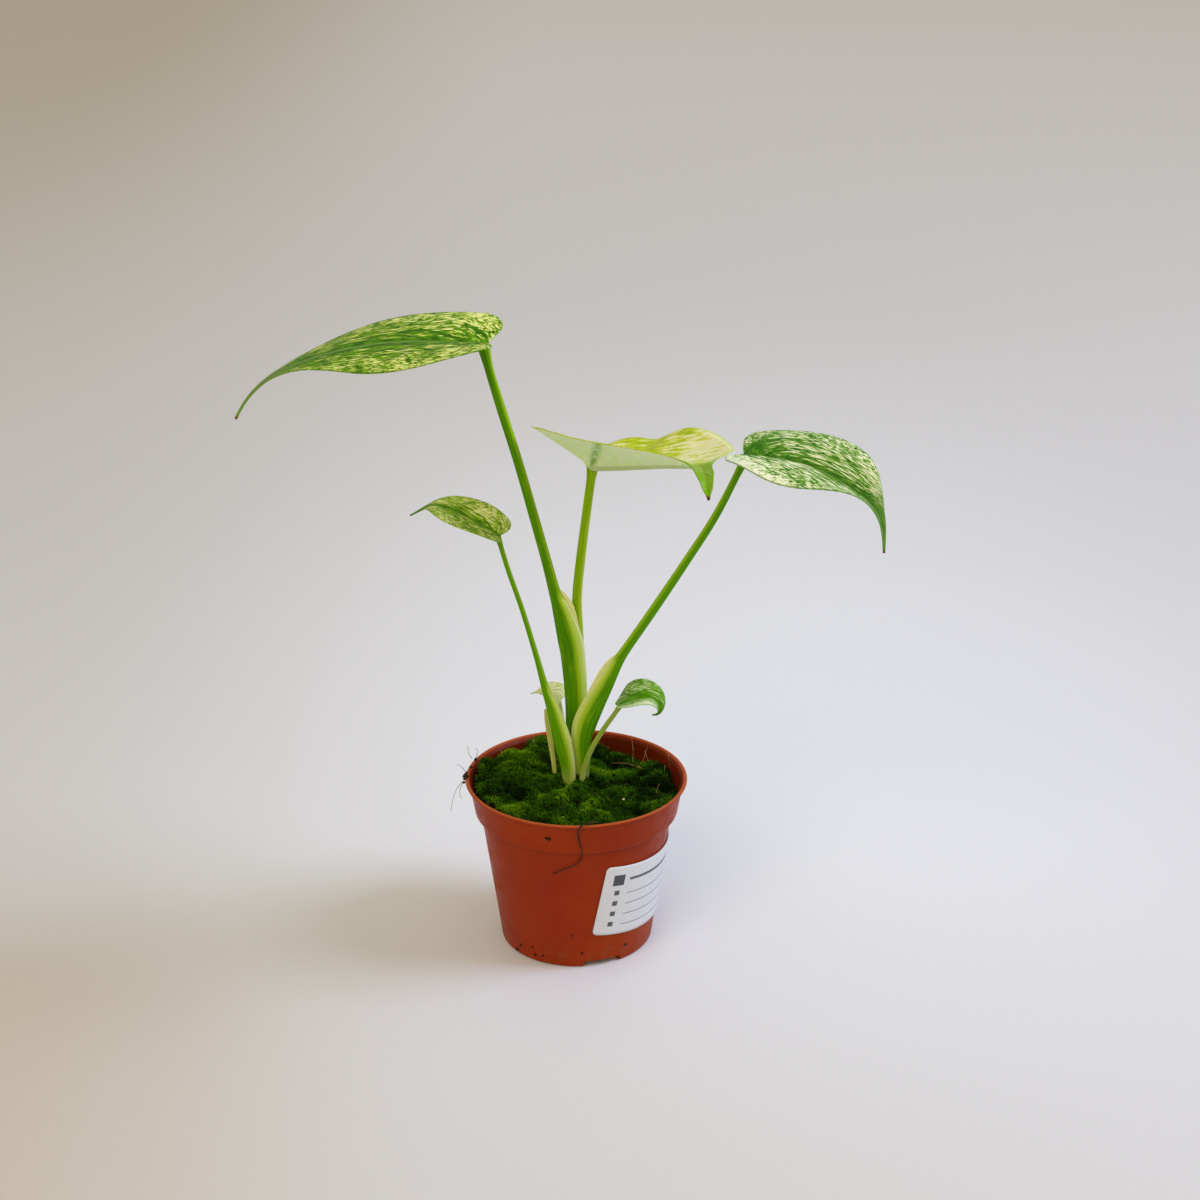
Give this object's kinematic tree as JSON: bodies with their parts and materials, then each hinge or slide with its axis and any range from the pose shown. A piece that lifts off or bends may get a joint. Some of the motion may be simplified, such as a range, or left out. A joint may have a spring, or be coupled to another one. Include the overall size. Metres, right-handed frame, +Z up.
{
  "type": "potted monstera",
  "caption": "Young monstera with marbled, drip-tipped leaves on upright sheathed stalks, growing from mossy soil in a tapered plastic nursery pot.",
  "frame": {"origin": "centre of the pot's flat base, on the surface that it stands on", "axes": "+Z up, -Y towards the front of the pot, +X to the right; the tallest leaf points to -X"},
  "size_m": [0.241, 0.1389, 0.2579],
  "materials": {
    "pot_plastic": "satin",
    "label_paper": "satin",
    "potting_mix": "matte",
    "moss_cushion": "matte",
    "stem_skin": "satin",
    "stalk_skin": "satin",
    "dry_skin": "matte",
    "leaf_green": "satin",
    "leaf_pale": "satin",
    "leaf_cream": "satin"
  },
  "bodies": {
    "root": {"pot": "pot_plastic", "label": "label_paper", "soil": "potting_mix", "moss": "moss_cushion", "stem_base": "stem_skin", "dry_sheath": "dry_skin", "stalk_left": "stalk_skin", "stalk_middle": "stalk_skin", "stalk_right": "stalk_skin", "stalk_small": "stalk_skin", "stalk_low": "stalk_skin", "stalk_cream": "stalk_skin", "blade_left": "leaf_green", "blade_middle": "leaf_pale", "blade_right": "leaf_green", "blade_small": "leaf_green", "blade_low": "leaf_green", "blade_cream": "leaf_cream"}
  },
  "joints": []
}
